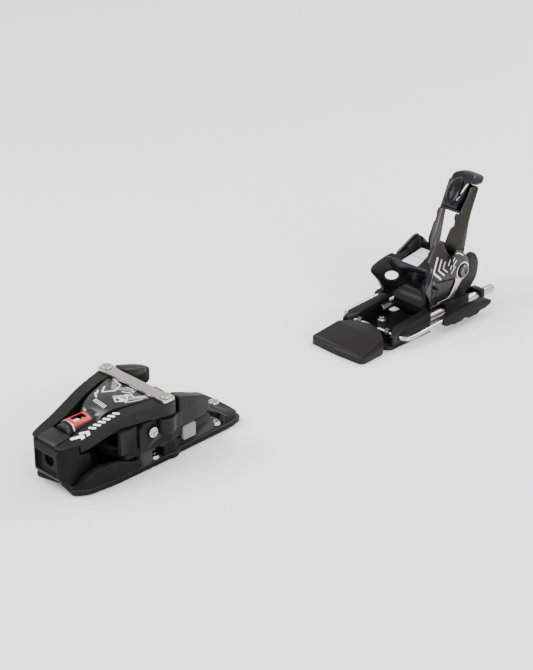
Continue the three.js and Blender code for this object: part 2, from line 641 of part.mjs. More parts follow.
function scaleWindow() {
  const bar = front(mirrorX([[10.4, 0, 0.4], [9.4, 2.2, 0.8]]), 0, 28.6);
  return bar.rotateX(THREE.MathUtils.degToRad(9)).translate(0, 98.6, 56.6);
}

const hubAxle = () => cylinder(hub.radius, [-25.4, hub.y, hub.z], [25.4, hub.y, hub.z], 20);

function hubScrew() {
  const head = cylinder(6.4, [25.7, hub.y, hub.z], [28, hub.y, hub.z], round.fine, 5.6);
  const arms = [0, 60, 120].map((deg) =>
    block(26.6, 30, -3.6, 3.6, -0.9, 0.9).rotateX(THREE.MathUtils.degToRad(deg)).translate(0, hub.y, hub.z),
  );
  return cut(head, ...arms);
}

function heelPiston() {
  const disc = cylinder(5.8, [0, 131, hub.z], [0, 134, hub.z]);
  return join(disc, cylinder(2.6, [0, 120, hub.z], [0, 132, hub.z], round.small));
}

const heelSpring = () => coil(4.9, 1, 16.4, 4).applyMatrix4(alongYCoil).translate(0, 113.6, 44);

// the lever's pieces are drawn upright about the hub, y towards the tail and z up the lever, then tilted
const onHub = (geometry) => geometry.rotateX(-leverTilt).translate(0, hub.y, hub.z);

// bends an arm's rear edge outwards near its top, clear of the carriage when the lever is down
function flared(geometry) {
  const { clamp, inverseLerp } = THREE.MathUtils;
  const spread = 2.8, bottom = 50, top = 78, front = -9, rear = 0;
  const place = geometry.attributes.position;
  for (let i = 0; i < place.count; i++) {
    const above = clamp(inverseLerp(bottom, top, place.getZ(i)), 0, 1);
    const behind = clamp(inverseLerp(front, rear, place.getY(i)), 0, 1);
    place.setX(i, place.getX(i) + spread * above * behind);
  }
  return geometry;
}

function leverFork() {
  const armSide = [
    [-7.6, -3, 4], [-7.6, 8, 3], [-18, 19, 4], [-16.4, 36, 2], [-13.6, 37.4, 1], [-13.6, 43, 1],
    [-15.6, 44.6, 1], [-15.6, 50, 2], [-11, 50, 1], [-8, 78, 6], [-2, 79, 2], [-0.4, 50, 14],
    [6.8, 16, 10], [8, -2, 5], [0, -8.4, 6],
  ];
  const armPlan = [
    [8.4, -19], [10.4, -19], [13.8, -8], [15.6, 0], [16, 12], [14, 12], [13.6, 0], [11.8, -8],
  ];
  const arm = flared(common(side(armSide, 0, 30), plan(armPlan, -12, 90)));
  const webSide = [[-12.6, 50.4], [0.6, 50.4], [0.4, 79], [-1.4, 79], [-1.4, 52.4], [-12.6, 52.4]];
  const web = common(side(webSide, -14, 14), plan(mirrorX([[9.6, -19], [13.6, -4], [13.9, 12]]), -12, 90));
  const axleHole = cylinder(hub.radius + gap, [-40, 0, 0], [40, 0, 0]);
  return onHub(cut(join(arm, mirrored(arm), web), axleHole));
}

function leverGrip() {
  const frontView = mirrorX([[8.6, 53, 3], [9.4, 68, 6], [14.2, 78, 8], [12.4, 85.4, 8], [6, 90.4, 5]]);
  const sideView = [
    [-14.4, 53, 2], [-15.4, 60, 6], [-12, 77, 12], [-4, 88, 9], [6, 91.2, 5], [14.6, 88.6, 3],
    [12.6, 84.6, 3], [4, 81, 2], [1.6, 80], [-1.8, 79.6], [-1.8, 53],
  ];
  const topView = mirrorX([[9.4, -20], [10.4, -12, 6], [14.2, -1, 8], [14.2, 5, 6], [8, 16, 6]]);
  const solid = common(front(frontView, -20, 18), side(sideView, -20, 20), plan(topView, 50, 100));
  const thumbRoom = new THREE.SphereGeometry(10, 16, 12).scale(0.85, 1.1, 1.9).translate(0, -17.6, 73);
  const armRoom = side([[-17, 49], [-9, 79.6], [1, 79.6], [4, 49]], 8, 20);
  return onHub(cut(solid, thumbRoom, armRoom, mirrored(armRoom)));
}

// ---- assembly ----

const group = new THREE.Group();
const middle = (noseFront + heelStart + guideRod.rear) / 2; // the whole binding is centred on Y = 0

const toe = new THREE.Group();
toe.position.y = -middle;
const leftPin = [wingPin.x, wingPin.y, 0];
toe.add(
  piece("toe_base", "black", toeBase()),
  piece("toe_body", "black", toeBody()),
  piece("nose_block", "black", noseBlock()),
  piece("nose_cap", "grey", noseCap()),
  piece("yoke", "black", yoke()),
  piece("spring_tube", "black", springTube()),
  piece("tube_band", "steel", tubeBand()),
  piece("indicator_frame", "red", indicatorFrame()),
  piece("indicator_nut", "silver", indicatorNut()),
  piece("release_screw", "steel", releaseScrew(), [0, 0, toeSpring.z]),
  piece("toe_spring", "steel", toeSpringCoil()),
  piece("drawbar", "steel", drawbar()),
  piece("spring_housing", "bronze", springHousing()),
  piece("bridge_plate", "steel", bridgePlate()),
  ...pair("wing_pin", "steel", pinAndHead(), leftPin),
  ...pair("wing", "grey", wing(), leftPin),
  ...pair("side_screw", "steel", sideScrew()),
  ...pair("side_plug", "slate", sidePlug()),
  piece("afd_carrier", "black", afdCarrier()),
  piece("afd_plate", "grey", afdPlate()),
  piece("afd_screw", "steel", afdHeightScrew(), [...afdScrew.slice(0, 2), 0]),
  ...pair("toe_front_screw", "steel", mountScrew(...toeFrontScrew)),
  ...pair("toe_rear_screw", "steel", mountScrew(...toeRearScrew)),
);
group.add(toe);

const heel = new THREE.Group();
heel.position.y = heelStart - middle;
const hubPoint = [0, hub.y, hub.z];
const brakePoint = [0, brakeAxis.y, brakeAxis.z];
heel.add(
  piece("heel_track", "black", heelTrack()),
  ...pair("guide_rod", "steel", guideRodBar()),
  ...pair("heel_front_screw", "steel", mountScrew(...heelFrontScrew)),
  ...pair("heel_rear_screw", "steel", mountScrew(...heelRearScrew)),
  piece("brake_pedal", "grey", heelPedal(), brakePoint),
  ...pair("brake_wire", "steel", brakeWireArm(), brakePoint),
  ...pair("brake_paddle", "black", brakePaddle(), brakePoint),
  ...pair("brake_spring", "steel", brakeCoil(), brakePoint),
  piece("carriage", "black", carriage()),
  ...pair("side_frame", "steel", sideFrame()),
  piece("hub_axle", "steel", hubAxle()),
  piece("pressure_spring", "steel", pressureSpring()),
  piece("pressure_screw", "steel", pressureScrew(), [0, 0, pressure.z]),
  piece("heel_cup", "gloss", heelCup(), hubPoint),
  piece("heel_housing", "black", heelHousing(), hubPoint),
  ...pair("side_plate", "bronze", sidePlate(), hubPoint),
  ...pair("hub_screw", "steel", hubScrew(), hubPoint),
  piece("scale_window", "silver", scaleWindow(), hubPoint),
  piece("heel_spring", "steel", heelSpring(), hubPoint),
  piece("heel_piston", "steel", heelPiston(), hubPoint),
  piece("lever_fork", "alloy", leverFork(), hubPoint),
  piece("lever_grip", "gloss", leverGrip(), hubPoint),
);
group.add(heel);

export default group;
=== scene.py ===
# Looks for the ski binding: toe unit and heel unit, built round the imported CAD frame.
import bpy, json, math
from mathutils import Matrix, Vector

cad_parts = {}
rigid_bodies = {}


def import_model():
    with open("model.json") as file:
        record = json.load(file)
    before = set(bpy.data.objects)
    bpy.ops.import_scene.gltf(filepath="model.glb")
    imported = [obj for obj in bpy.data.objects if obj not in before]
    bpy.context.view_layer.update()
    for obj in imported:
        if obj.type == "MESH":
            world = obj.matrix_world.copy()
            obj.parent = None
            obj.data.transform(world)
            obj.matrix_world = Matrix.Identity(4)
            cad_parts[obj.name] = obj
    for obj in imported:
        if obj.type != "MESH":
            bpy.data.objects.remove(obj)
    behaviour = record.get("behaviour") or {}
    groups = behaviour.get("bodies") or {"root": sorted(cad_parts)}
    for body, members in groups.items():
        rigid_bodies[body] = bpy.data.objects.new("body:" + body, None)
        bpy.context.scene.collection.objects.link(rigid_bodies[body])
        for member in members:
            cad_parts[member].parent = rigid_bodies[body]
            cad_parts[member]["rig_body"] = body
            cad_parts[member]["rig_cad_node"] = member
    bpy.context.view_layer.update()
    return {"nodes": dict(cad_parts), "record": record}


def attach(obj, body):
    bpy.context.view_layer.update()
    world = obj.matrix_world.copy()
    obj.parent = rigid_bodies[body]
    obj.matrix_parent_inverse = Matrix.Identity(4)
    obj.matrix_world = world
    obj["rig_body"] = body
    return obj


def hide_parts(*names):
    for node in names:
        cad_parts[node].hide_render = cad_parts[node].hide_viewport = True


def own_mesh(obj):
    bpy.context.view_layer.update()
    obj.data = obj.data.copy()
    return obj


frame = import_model()
bodyOfNode = {n: b for b, ns in frame["record"]["behaviour"]["bodies"].items() for n in ns}
mm = 0.001


# camera, lights and floor

cameraSetting = {
    "azimuth": 45, "elevation": 26.5, "distance": 1.6627, "lens": 100.5, "clipEnd": 30,
    "aim": (-0.0291, 0.0109, 0.03),
}
lightAim = (0, 0, 0.04)
lightSettings = {
    "keyLight": {"place": (-0.9, -1.1, 1.7), "size": 1.2, "power": 46},
    "fillLight": {"place": (1.6, -0.3, 1.1), "size": 1.3, "power": 26},
    "backLight": {"place": (0.2, 1.6, 1.5), "size": 1.3, "power": 34},
}
roomSetting = {
    "worldStrength": 1.05, "worldColour": (1, 1, 1, 1),
    "floorColour": (0.95, 0.95, 0.95, 1), "floorRoughness": 0.9, "floorSize": 9.0, "floorHeight": -0.0006,
}


def aimAt(thing, target):
    thing.rotation_euler = (Vector(target) - thing.location).to_track_quat("-Z", "Y").to_euler()


def makeStage():
    c = cameraSetting
    a, e = math.radians(c["azimuth"]), math.radians(c["elevation"])
    back = Vector((math.sin(a) * math.cos(e), -math.cos(a) * math.cos(e), math.sin(e)))
    bpy.ops.object.camera_add(location=Vector(c["aim"]) + back * c["distance"])
    cam = bpy.context.object
    cam.data.lens = c["lens"]
    cam.data.clip_end = c["clipEnd"]
    aimAt(cam, c["aim"])
    bpy.context.scene.camera = cam
    for name, l in lightSettings.items():
        bpy.ops.object.light_add(type="AREA", location=l["place"])
        lamp = bpy.context.object
        lamp.name = name
        lamp.data.size = l["size"]
        lamp.data.energy = l["power"]
        aimAt(lamp, lightAim)
    world = bpy.data.worlds.new("softRoom")
    bpy.context.scene.world = world
    world.use_nodes = True
    sky = world.node_tree.nodes["Background"]
    sky.inputs["Color"].default_value = roomSetting["worldColour"]
    sky.inputs["Strength"].default_value = roomSetting["worldStrength"]
    floorPlace = (0, 0, roomSetting["floorHeight"])
    bpy.ops.mesh.primitive_plane_add(size=roomSetting["floorSize"], location=floorPlace)
    floor = bpy.context.object
    floor.name = "paleFloor"
    paint = bpy.data.materials.new("paleFloorPaint")
    paint.use_nodes = True
    shader = paint.node_tree.nodes["Principled BSDF"]
    shader.inputs["Base Color"].default_value = roomSetting["floorColour"]
    shader.inputs["Roughness"].default_value = roomSetting["floorRoughness"]
    floor.data.materials.append(paint)


makeStage()
print("stage ready")


# shared effects as node groups

def startGroup(name, inputs, outputs):
    group = bpy.data.node_groups.new(name, "ShaderNodeTree")
    for label, kind, value in inputs:
        made = group.interface.new_socket(label, in_out="INPUT", socket_type=kind)
        if value is not None:
            made.default_value = value
    for label, kind in outputs:
        group.interface.new_socket(label, in_out="OUTPUT", socket_type=kind)
    return group, group.nodes.new("NodeGroupInput"), group.nodes.new("NodeGroupOutput")


def mathNode(tree, operation, a, b=None, clamp=False):
    node = tree.nodes.new("ShaderNodeMath")
    node.operation = operation
    node.use_clamp = clamp
    for socket, value in zip(node.inputs, (a, b)):
        if value is None:
            continue
        if isinstance(value, (int, float)):
            socket.default_value = value
        else:
            tree.links.new(value, socket)
    return node.outputs[0]


def vectorNode(tree, operation, a, b=None, scale=None):
    node = tree.nodes.new("ShaderNodeVectorMath")
    node.operation = operation
    for socket, value in zip(node.inputs, (a, b)):
        if value is None:
            continue
        if isinstance(value, (tuple, list)):
            socket.default_value = value
        else:
            tree.links.new(value, socket)
    if scale is not None:
        tree.links.new(scale, node.inputs["Scale"])
    return node


vectorInput = ("Vector", "NodeSocketVector", None)


def mouldedGrainGroup():  # fine moulded grain with slow colour drift
    g, i, o = startGroup(
        "mouldedGrain",
        [vectorInput, ("Grain Size", "NodeSocketFloat", 1300.0), ("Drift Size", "NodeSocketFloat", 28.0)],
        [("Height", "NodeSocketFloat"), ("Drift", "NodeSocketFloat")],
    )
    fine = g.nodes.new("ShaderNodeTexNoise")
    fine.inputs["Detail"].default_value = 3
    cells = g.nodes.new("ShaderNodeTexVoronoi")
    slow = g.nodes.new("ShaderNodeTexNoise")
    slow.inputs["Detail"].default_value = 4
    for n in (fine, cells, slow):
        g.links.new(i.outputs["Vector"], n.inputs["Vector"])
    g.links.new(i.outputs["Grain Size"], fine.inputs["Scale"])
    g.links.new(i.outputs["Grain Size"], cells.inputs["Scale"])
    g.links.new(i.outputs["Drift Size"], slow.inputs["Scale"])
    fineShare = mathNode(g, "MULTIPLY", fine.outputs["Fac"], 0.6)
    cellShare = mathNode(g, "MULTIPLY", cells.outputs["Distance"], 0.5)
    g.links.new(mathNode(g, "ADD", fineShare, cellShare), o.inputs["Height"])
    g.links.new(slow.outputs["Fac"], o.inputs["Drift"])
    return g


def paintedEdgeHighlightGroup():  # painted highlight: lighter where corners stick out
    g, i, o = startGroup(
        "paintedEdgeHighlight",
        [("Start", "NodeSocketFloat", 0.52), ("End", "NodeSocketFloat", 0.6)],
        [("Mask", "NodeSocketFloat")],
    )
    shape = g.nodes.new("ShaderNodeNewGeometry")
    ramp = g.nodes.new("ShaderNodeMapRange")
    g.links.new(shape.outputs["Pointiness"], ramp.inputs["Value"])
    g.links.new(i.outputs["Start"], ramp.inputs["From Min"])
    g.links.new(i.outputs["End"], ramp.inputs["From Max"])
    g.links.new(ramp.outputs["Result"], o.inputs["Mask"])
    return g


def wovenGroup():  # small over-and-under weave pressed into the surface
    g, i, o = startGroup(
        "wovenSkin",
        [vectorInput, ("Thread", "NodeSocketFloat", None)],
        [("Height", "NodeSocketFloat"), ("Checks", "NodeSocketFloat")],
    )
    turned = g.nodes.new("ShaderNodeMapping")
    slant = (35, 30, 45)  # degrees about each axis, so no face is cut along the threads
    turned.inputs["Rotation"].default_value = [math.radians(a) for a in slant]
    g.links.new(i.outputs["Vector"], turned.inputs["Vector"])
    split = g.nodes.new("ShaderNodeSeparateXYZ")
    g.links.new(turned.outputs["Vector"], split.inputs["Vector"])
    waves = []
    for axis in ("X", "Y"):
        steps = mathNode(g, "DIVIDE", split.outputs[axis], i.outputs["Thread"])
        waves.append(mathNode(g, "SINE", mathNode(g, "MULTIPLY", steps, math.pi)))
    product = mathNode(g, "MULTIPLY", waves[0], waves[1])
    g.links.new(mathNode(g, "ABSOLUTE", product), o.inputs["Height"])
    g.links.new(mathNode(g, "GREATER_THAN", product, 0.0), o.inputs["Checks"])
    return g


def brushedGroup():  # long fine lines along one axis, as drawn or rolled metal has
    g, i, o = startGroup(
        "brushedLines",
        [vectorInput, ("Stretch", "NodeSocketVector", None)],
        [("Height", "NodeSocketFloat"), ("Patch", "NodeSocketFloat")],
    )
    long = vectorNode(g, "MULTIPLY", i.outputs["Vector"], i.outputs["Stretch"]).outputs["Vector"]
    lines = g.nodes.new("ShaderNodeTexNoise")
    lines.inputs["Scale"].default_value = 1
    lines.inputs["Detail"].default_value = 4
    g.links.new(long, lines.inputs["Vector"])
    patch = g.nodes.new("ShaderNodeTexNoise")
    patch.inputs["Scale"].default_value = 60
    g.links.new(i.outputs["Vector"], patch.inputs["Vector"])
    g.links.new(lines.outputs["Fac"], o.inputs["Height"])
    g.links.new(patch.outputs["Fac"], o.inputs["Patch"])
    return g


def strokeGroup():  # a printed line from Start to End
    g, i, o = startGroup(
        "printedStroke",
        [vectorInput, ("Start", "NodeSocketVector", None), ("End", "NodeSocketVector", None),
         ("Width", "NodeSocketFloat", None)],
        [("Mask", "NodeSocketFloat")],
    )
    along = vectorNode(g, "SUBTRACT", i.outputs["End"], i.outputs["Start"]).outputs["Vector"]
    reach = vectorNode(g, "SUBTRACT", i.outputs["Vector"], i.outputs["Start"]).outputs["Vector"]
    dot = vectorNode(g, "DOT_PRODUCT", reach, along).outputs["Value"]
    size = vectorNode(g, "DOT_PRODUCT", along, along).outputs["Value"]
    share = mathNode(g, "DIVIDE", dot, size, clamp=True)
    foot = vectorNode(g, "SCALE", along, scale=share).outputs["Vector"]
    gap = vectorNode(g, "DISTANCE", reach, foot).outputs["Value"]
    g.links.new(mathNode(g, "LESS_THAN", gap, i.outputs["Width"]), o.inputs["Mask"])
    return g


grain, paintedEdgeHighlight, woven = mouldedGrainGroup(), paintedEdgeHighlightGroup(), wovenGroup()
brushed, stroke = brushedGroup(), strokeGroup()


# materials

finishes = {  # two colours that drift into each other, lowest and highest roughness, bump height in mm, and how strongly corners get a painted edge highlight
    "blackPlastic": {"kind": "moulded", "dark": (0.0026, 0.0026, 0.0027), "light": (0.0052, 0.0052, 0.0052),
                     "roughness": (0.36, 0.55), "bump": 0.05, "paintedHighlight": 0.8, "specular": 0.10},
    "greyPlastic": {"kind": "moulded", "dark": (0.0046, 0.0043, 0.0039), "light": (0.0078, 0.0074, 0.0067),
                    "roughness": (0.36, 0.5), "bump": 0.05, "paintedHighlight": 0.6, "specular": 0.14},
    "wingPlastic": {"kind": "moulded", "dark": (0.0045, 0.0043, 0.0039), "light": (0.0085, 0.0081, 0.0075),
                    "roughness": (0.36, 0.5), "bump": 0.05, "paintedHighlight": 0.5, "specular": 0.18},
    "capPlastic": {"kind": "moulded", "dark": (0.0090, 0.0089, 0.0085), "light": (0.0140, 0.0138, 0.0133),
                   "roughness": (0.34, 0.46), "bump": 0.03, "paintedHighlight": 0.4, "specular": 0.2},
    "glossBlack": {"kind": "moulded", "dark": (0.0016, 0.0018, 0.0024), "light": (0.0040, 0.0044, 0.0054),
                   "roughness": (0.17, 0.30), "bump": 0.015, "paintedHighlight": 0.5, "specular": 0.26, "coat": 0.03},
    "slatePlastic": {"kind": "moulded", "dark": (0.13, 0.135, 0.155), "light": (0.18, 0.185, 0.21),
                     "roughness": (0.30, 0.42), "bump": 0.04, "paintedHighlight": 0.1, "specular": 0.5},
    "lightPlate": {"kind": "moulded", "dark": (0.56, 0.57, 0.63), "light": (0.70, 0.71, 0.77),
                   "roughness": (0.28, 0.4), "bump": 0.03, "paintedHighlight": 0.1, "specular": 0.5},
    "whitePlastic": {"kind": "moulded", "dark": (0.70, 0.70, 0.68), "light": (0.80, 0.80, 0.78),
                     "roughness": (0.3, 0.42), "bump": 0.03, "paintedHighlight": 0.1, "specular": 0.5},
    "redPlastic": {"kind": "moulded", "dark": (0.42, 0.016, 0.016), "light": (0.55, 0.028, 0.026),
                   "roughness": (0.28, 0.4), "bump": 0.03, "paintedHighlight": 0.2, "specular": 0.4},
    "armPaint": {"kind": "woven", "dark": (0.0020, 0.0020, 0.0021), "light": (0.0085, 0.0085, 0.0088),
                 "roughness": (0.30, 0.46), "bump": 0.12, "paintedHighlight": 0.8, "specular": 0.16, "thread": 0.0009},
    "darkPaint": {"kind": "moulded", "dark": (0.0070, 0.0070, 0.0074), "light": (0.0130, 0.0130, 0.0134),
                  "roughness": (0.28, 0.4), "bump": 0.03, "paintedHighlight": 0.5, "specular": 0.25, "metallic": 0.1},
    "warmSteel": {"kind": "brushed", "dark": (0.44, 0.40, 0.35), "light": (0.62, 0.575, 0.52),
                  "roughness": (0.20, 0.34), "bump": 0.03, "stretch": (1500, 45, 1500)},
    "plateSteel": {"kind": "brushed", "dark": (0.46, 0.42, 0.37), "light": (0.64, 0.60, 0.545),
                   "roughness": (0.20, 0.34), "bump": 0.04, "stretch": (45, 1500, 1500)},
    "springSteel": {"kind": "brushed", "dark": (0.07, 0.07, 0.07), "light": (0.16, 0.16, 0.16),
                    "roughness": (0.18, 0.30), "bump": 0.03, "stretch": (900, 900, 900)},
    "leverAlloy": {"kind": "brushed", "dark": (0.022, 0.0205, 0.018), "light": (0.046, 0.043, 0.038),
                   "roughness": (0.32, 0.46), "bump": 0.04, "stretch": (1300, 1300, 60)},
    "housingBlack": {"kind": "moulded", "dark": (0.0055, 0.0055, 0.0060), "light": (0.0150, 0.0150, 0.0160),
                     "roughness": (0.20, 0.34), "bump": 0.02, "paintedHighlight": 0.7, "metallic": 0.2, "specular": 0.4},
    "gunmetal": {"kind": "moulded", "dark": (0.012, 0.0110, 0.0096), "light": (0.030, 0.0278, 0.0245),
                 "roughness": (0.24, 0.38), "bump": 0.03, "paintedHighlight": 0.6, "metallic": 0.5, "specular": 0.5},
}


def filled(node, values):
    for key, value in values.items():
        node.inputs[key.replace("_", " ")].default_value = value
    return node


def addNode(tree, kind, **values):
    return filled(tree.nodes.new(kind), values)


def addGroup(tree, group, **values):
    node = tree.nodes.new("ShaderNodeGroup")
    node.node_tree = group
    return filled(node, values)


def mixColour(tree, mask, a, b):
    node = tree.nodes.new("ShaderNodeMix")
    node.data_type = "RGBA"
    tree.links.new(mask, node.inputs["Factor"])
    for socket, value in ((node.inputs[6], a), (node.inputs[7], b)):  # the two colour sockets
        if isinstance(value, (tuple, list)):
            socket.default_value = (*value[:3], 1)
        else:
            tree.links.new(value, socket)
    return node.outputs[2]  # the colour output


def spanOf(tree, value, low, high):  # noise, which stays near its middle, spread over low to high
    node = addNode(tree, "ShaderNodeMapRange", To_Min=low, To_Max=high, From_Min=0.3, From_Max=0.7)
    tree.links.new(value, node.inputs["Value"])
    return node.outputs["Result"]


def lineMask(tree, flat, a, b, width):
    line = addGroup(tree, stroke, Start=[v * mm for v in a], End=[v * mm for v in b], Width=width * mm)
    tree.links.new(flat, line.inputs["Vector"])
    return line.outputs["Mask"]


def markMask(tree, place, normal, mark):  # one set of printed lines, only on faces that look the given way
    flat = vectorNode(tree, "MULTIPLY", place, mark["flatten"]).outputs["Vector"]
    total = None
    for line in mark["lines"]:
        mask = lineMask(tree, flat, *line)
        total = mask if total is None else mathNode(tree, "MAXIMUM", total, mask)
    for line in mark.get("holes", ()):
        total = mathNode(tree, "SUBTRACT", total, lineMask(tree, flat, *line), clamp=True)
    looking = vectorNode(tree, "DOT_PRODUCT", normal, mark["facing"]).outputs["Value"]
    total = mathNode(tree, "MULTIPLY", total, mathNode(tree, "GREATER_THAN", looking, mark["limit"]))
    if "past" in mark:  # only beyond this distance to the left side
        split = tree.nodes.new("ShaderNodeSeparateXYZ")
        tree.links.new(place, split.inputs["Vector"])
        beyond = mathNode(tree, "GREATER_THAN", split.outputs["X"], mark["past"] * mm)
        total = mathNode(tree, "MULTIPLY", total, beyond)
    return total


paintedHighlightTone = {"gain": 2.6, "lift": 0.03}  # a painted edge highlight is the dark colour times gain, plus lift
weaveTone = {"grainShare": 0.3, "colourShare": 0.55}


def makeFinish(name, finish, marks=()):
    material = bpy.data.materials.new(name)
    material.use_nodes = True
    tree = material.node_tree
    shader = tree.nodes["Principled BSDF"]
    where = tree.nodes.new("ShaderNodeTexCoord")
    place, normal = where.outputs["Object"], where.outputs["Normal"]
    bump = addNode(tree, "ShaderNodeBump", Strength=1.0, Distance=finish["bump"] * mm)
    if finish["kind"] == "brushed":
        lines = addGroup(tree, brushed, Stretch=finish["stretch"])
        tree.links.new(place, lines.inputs["Vector"])
        drift, height = lines.outputs["Patch"], lines.outputs["Height"]
        shader.inputs["Metallic"].default_value = 1.0
        blend = height
    else:
        skin = addGroup(tree, grain)
        tree.links.new(place, skin.inputs["Vector"])
        drift, height = skin.outputs["Drift"], skin.outputs["Height"]
        shader.inputs["Metallic"].default_value = finish.get("metallic", 0.0)
        blend = drift
    if finish["kind"] == "woven":
        cloth = addGroup(tree, woven, Thread=finish["thread"])
        tree.links.new(place, cloth.inputs["Vector"])
        grainHeight = mathNode(tree, "MULTIPLY", height, weaveTone["grainShare"])
        height = mathNode(tree, "ADD", cloth.outputs["Height"], grainHeight)
        checks = mathNode(tree, "ADD", cloth.outputs["Checks"], drift)
        blend = mathNode(tree, "MULTIPLY", checks, weaveTone["colourShare"])
    colour = mixColour(tree, blend, finish["dark"], finish["light"])
    # painted highlight: corners that stick out are lightened towards a brighter copy of the dark colour
    if "paintedHighlight" in finish:
        highlighted = addGroup(tree, paintedEdgeHighlight)
        share = mathNode(tree, "MULTIPLY", highlighted.outputs["Mask"], finish["paintedHighlight"])
        highlightColour = [v * paintedHighlightTone["gain"] + paintedHighlightTone["lift"] for v in finish["dark"]]
        colour = mixColour(tree, share, colour, highlightColour)
    for mark in marks:
        colour = mixColour(tree, markMask(tree, place, normal, mark), colour, mark["colour"])
    tree.links.new(colour, shader.inputs["Base Color"])
    tree.links.new(spanOf(tree, drift, *finish["roughness"]), shader.inputs["Roughness"])
    tree.links.new(height, bump.inputs["Height"])
    tree.links.new(bump.outputs["Normal"], shader.inputs["Normal"])
    shader.inputs["Coat Weight"].default_value = finish.get("coat", 0.0)
    shader.inputs["Specular IOR Level"].default_value = finish.get("specular", 0.5)
    return material


# finishes that no piece wears without a print
printedOnly = ("armPaint", "housingBlack", "gunmetal", "lightPlate", "whitePlastic")
materials = {name: makeFinish(name, finish) for name, finish in finishes.items() if name not in printedOnly}
print("materials ready")


# printed marks and a light stripe on the grip, as simple bars and chevrons (mm, in the binding's own frame)
silver, white = (0.80, 0.80, 0.81), (0.92, 0.92, 0.92)
greyInk, blackInk = (0.22, 0.22, 0.23), (0.006, 0.006, 0.006)


def chain(points, width, fixed):  # a line through points given in two directions, the third being left flat
    placed = [fixed(p) for p in points]
    return [(a, b, width) for a, b in zip(placed, placed[1:])]


def onSide(p):
    return (0, p[0], p[1])


def onTop(p):
    return (p[0], p[1], 0)


def onFront(p):
    return (p[0], 0, p[1])


sideMarks = {
    "colour": silver, "flatten": (0, 1, 1), "facing": (1, 0, 0), "limit": 0.5,
    "lines": chain([(186, 64.6), (176.4, 53.6), (184.4, 45.6)], 0.95, onSide)
    + chain([(190.6, 61.6), (183.6, 53.8), (189.6, 47.8)], 0.7, onSide)
    + chain([(194.6, 58.6), (190, 53.8), (194.2, 49.6)], 0.5, onSide)
    + chain([(198, 54.6), (204, 60.6)], 0.5, onSide) + chain([(199.6, 50.6), (206.6, 57.6)], 0.5, onSide)
    + chain([(200, 46.4), (205.4, 51.8)], 0.45, onSide)
    + chain([(204, 65.6), (211, 63.5), (216, 60)], 0.45, onSide)
    + [((0, 216.75, 44), (0, 216.75, 44.01), 8.8)],
    "holes": [((0, 216.75, 44), (0, 216.75, 44.01), 7.7)],
}
sideMarksRight = {**sideMarks, "facing": (-1, 0, 0)}
topFacing = {"flatten": (1, 1, 0), "facing": (0, 0, 1), "limit": 0.5}
housingMarks = [
    {
        **topFacing, "colour": greyInk,
        "lines": chain([(-17, -176), (-9, -184), (-2, -179), (6, -176)], 2.2, onTop)
        + chain([(2, -192), (12, -188), (20, -176)], 2.6, onTop)
        + chain([(-9, -216), (0, -218), (8, -215)], 0.9, onTop),
    },
    {
        **topFacing, "colour": silver,
        "lines": chain([(-21, -174), (-9, -177), (-5.5, -186), (-12, -194), (-17, -187)], 0.75, onTop)
        + chain([(-14.6, -199), (-9.4, -202.5)], 0.8, onTop)
        + chain([(-16.4, -194.6), (-13.4, -198)], 0.7, onTop)
        + chain([(3, -194), (8, -197), (14, -191), (9, -185), (4, -188), (3, -194)], 0.6, onTop)
        + chain([(0, -183), (7, -180), (14, -183), (20, -176)], 0.55, onTop)
        + chain([(-3, -176), (3, -175), (8, -178)], 0.45, onTop)
        + chain([(15, -193), (18, -188), (21.5, -180)], 0.4, onTop),
    },
    {
        **topFacing, "colour": white,
        "lines": chain([(6, -191.5), (10.4, -191)], 1.1, onTop)
        + chain([(9.4, -194), (12, -189.6)], 0.6, onTop)
        + chain([(5.4, -184.6), (9.6, -182.8)], 0.7, onTop),
    },
    {**topFacing, "colour": blackInk, "lines": chain([(-9, -205.4), (8.6, -207.4)], 2.6, onTop)},
    {
        **topFacing, "colour": white,
        "lines": [
            ((x, -208.2 - 0.11 * x, 0), (x + 0.2, -205.2 - 0.11 * x, 0), 0.42) for x in range(-7, 8, 2)
        ],
    },
    {
        "colour": silver, "flatten": (0, 1, 1), "facing": (0.6, -0.6, 0.2), "limit": 0.4,
        "lines": chain([(-216, 40), (-206, 48), (-199, 41), (-190, 50), (-176, 42)], 0.5, onSide),
    },
]
armMarks = [{
    **topFacing, "limit": 0.72, "colour": white, "past": 5,
    "lines": chain([(15.2, -248.4), (19.6, -242), (23.6, -243.6)], 1.7, onTop)
    + chain([(16, -240.4), (19.8, -236.2), (23.6, -238.6)], 1.35, onTop)
    + [
        ((17.3 + 0.5 * k, -232 + 4.5 * k, 0), (21.4 + 0.5 * k, -230.2 + 4.5 * k, 0), 1.15) for k in range(6)
    ],
}]
shelfMarks = [{
    "colour": (0.020, 0.020, 0.021), "flatten": (1, 1, 0), "facing": (0, 0, 1), "limit": 0.6,
    "lines": chain([(-32, -209), (-18, -211), (0, -213), (18, -211), (32, -209)], 3.4, onTop),
}, {
    "colour": (0.035, 0.035, 0.038), "flatten": (0, 1, 1), "facing": (1, 0, 0), "limit": 0.6,
    "lines": chain([(-174, 27.8), (-163, 27.8)], 0.35, onSide) + chain([(-172, 40), (-166, 37)], 0.3, onSide),
}]
baseMarks = [{
    "colour": (0.030, 0.030, 0.032), "flatten": (0, 0, 1), "facing": (0, -0.3, 1), "limit": 0.45,
    "lines": [((0, 0, 4.9), (0, 0, 4.91), 0.35)],
}]
windowMarks = [{
    "colour": (0.10, 0.10, 0.11), "flatten": (0, 1, 0), "facing": (0, 0, 1), "limit": 0.4,
    "lines": [((0, 181.5, 0), (0, 181.6, 0), 0.32)],
}, {
    "colour": (0.22, 0.22, 0.23), "flatten": (1, 1, 0), "facing": (0, 0, 1), "limit": 0.4,
    "lines": [
        ((x, 172.5, 0), (x, 175.5 if i % 2 else 177, 0), 0.28) for i, x in enumerate((-6, -3, 0, 3, 6))
    ],
}]
